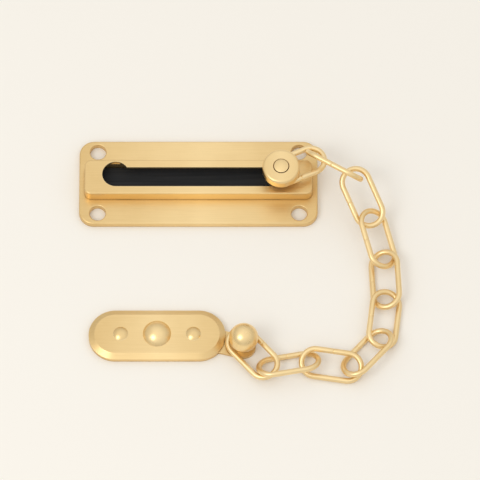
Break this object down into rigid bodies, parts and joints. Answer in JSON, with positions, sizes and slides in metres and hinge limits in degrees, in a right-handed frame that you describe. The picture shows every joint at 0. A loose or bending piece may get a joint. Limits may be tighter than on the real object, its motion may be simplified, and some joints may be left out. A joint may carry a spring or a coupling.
{
  "type": "chain bolt",
  "caption": "Brass door chain bolt: a slotted slide plate with a sliding knob, joined by a chain of oval wire links to a round-ended anchor plate with a ball stud.",
  "frame": {"origin": "middle of the slide plate's back face", "axes": "+X along the slot from the keyhole to the locked end, +Y across the plate away from the anchor, +Z out of the plate's face, up from the table that the bolt lies on"},
  "size_m": [0.1214, 0.0996, 0.0195],
  "materials": {
    "plate_brass": "satin",
    "track_brass": "satin",
    "dark_liner": "matt black",
    "stud_brass": "satin",
    "knob_brass": "satin",
    "anchor_brass": "satin",
    "strip_brass": "satin",
    "rivet_brass": "satin",
    "ball_brass": "satin",
    "chain_brass": "satin"
  },
  "bodies": {
    "slide_plate": {"base_plate": "plate_brass", "track_cover": "track_brass", "slot_liner": "dark_liner"},
    "bolt": {"knob_stud": "stud_brass", "knob_head": "knob_brass"},
    "link_01": {"link_01": "chain_brass"},
    "link_02": {"link_02": "chain_brass"},
    "link_03": {"link_03": "chain_brass"},
    "link_04": {"link_04": "chain_brass"},
    "link_05": {"link_05": "chain_brass"},
    "link_06": {"link_06": "chain_brass"},
    "link_07": {"link_07": "chain_brass"},
    "link_08": {"link_08": "chain_brass"},
    "link_09": {"link_09": "chain_brass"},
    "link_10": {"link_10": "chain_brass"},
    "anchor": {"anchor_plate": "anchor_brass", "anchor_strip": "strip_brass", "dome_rivet": "rivet_brass", "rivet_left": "rivet_brass", "rivet_right": "rivet_brass", "ball_stud": "ball_brass"}
  },
  "joints": [
    {"name": "bolt_slide", "type": "slide", "parent": "slide_plate", "child": "bolt", "axis": [1, 0, 0], "range_m": [-0.0624, 0]},
    {"name": "link_01_swing", "type": "hinge", "parent": "bolt", "child": "link_01", "pos_m": [0.0312, 0, 0], "axis": [0, 0, 1], "range_deg": [-29, 40]},
    {"name": "link_02_swing", "type": "hinge", "parent": "link_01", "child": "link_02", "pos_m": [0.04417, 0.00578, 0], "axis": [0, 0, -1], "range_deg": [-45, 2]},
    {"name": "link_03_swing", "type": "hinge", "parent": "link_02", "child": "link_03", "pos_m": [0.0582, -0.00232, 0], "axis": [0, 0, 1], "range_deg": [-15, 36]},
    {"name": "link_04_swing", "type": "hinge", "parent": "link_03", "child": "link_04", "pos_m": [0.0653, -0.01689, 0], "axis": [0, 0, -1], "range_deg": [-30, 13]},
    {"name": "link_05_swing", "type": "hinge", "parent": "link_04", "child": "link_05", "pos_m": [0.06977, -0.03246, 0], "axis": [0, 0, 1], "range_deg": [-15, 30]},
    {"name": "link_06_swing", "type": "hinge", "parent": "link_05", "child": "link_06", "pos_m": [0.07062, -0.04863, 0], "axis": [0, 0, -1], "range_deg": [-28, 15]},
    {"name": "link_07_swing", "type": "hinge", "parent": "link_06", "child": "link_07", "pos_m": [0.06864, -0.06471, 0], "axis": [0, 0, 1], "range_deg": [-15, 32]},
    {"name": "link_08_swing", "type": "hinge", "parent": "link_07", "child": "link_08", "pos_m": [0.0578, -0.07675, 0], "axis": [0, 0, -1], "range_deg": [-50, 18]},
    {"name": "link_09_swing", "type": "hinge", "parent": "link_08", "child": "link_09", "pos_m": [0.0418, -0.07422, 0], "axis": [0, 0, 1], "range_deg": [-20, 20]},
    {"name": "link_10_swing", "type": "hinge", "parent": "link_09", "child": "link_10", "pos_m": [0.02585, -0.07703, 0], "axis": [0, 0, -1], "range_deg": [-38, 11]},
    {"name": "anchor_swing", "type": "hinge", "parent": "link_10", "child": "anchor", "pos_m": [0.01708, -0.0673, 0], "axis": [0, 0, 1], "range_deg": [-40, 45]}
  ]
}
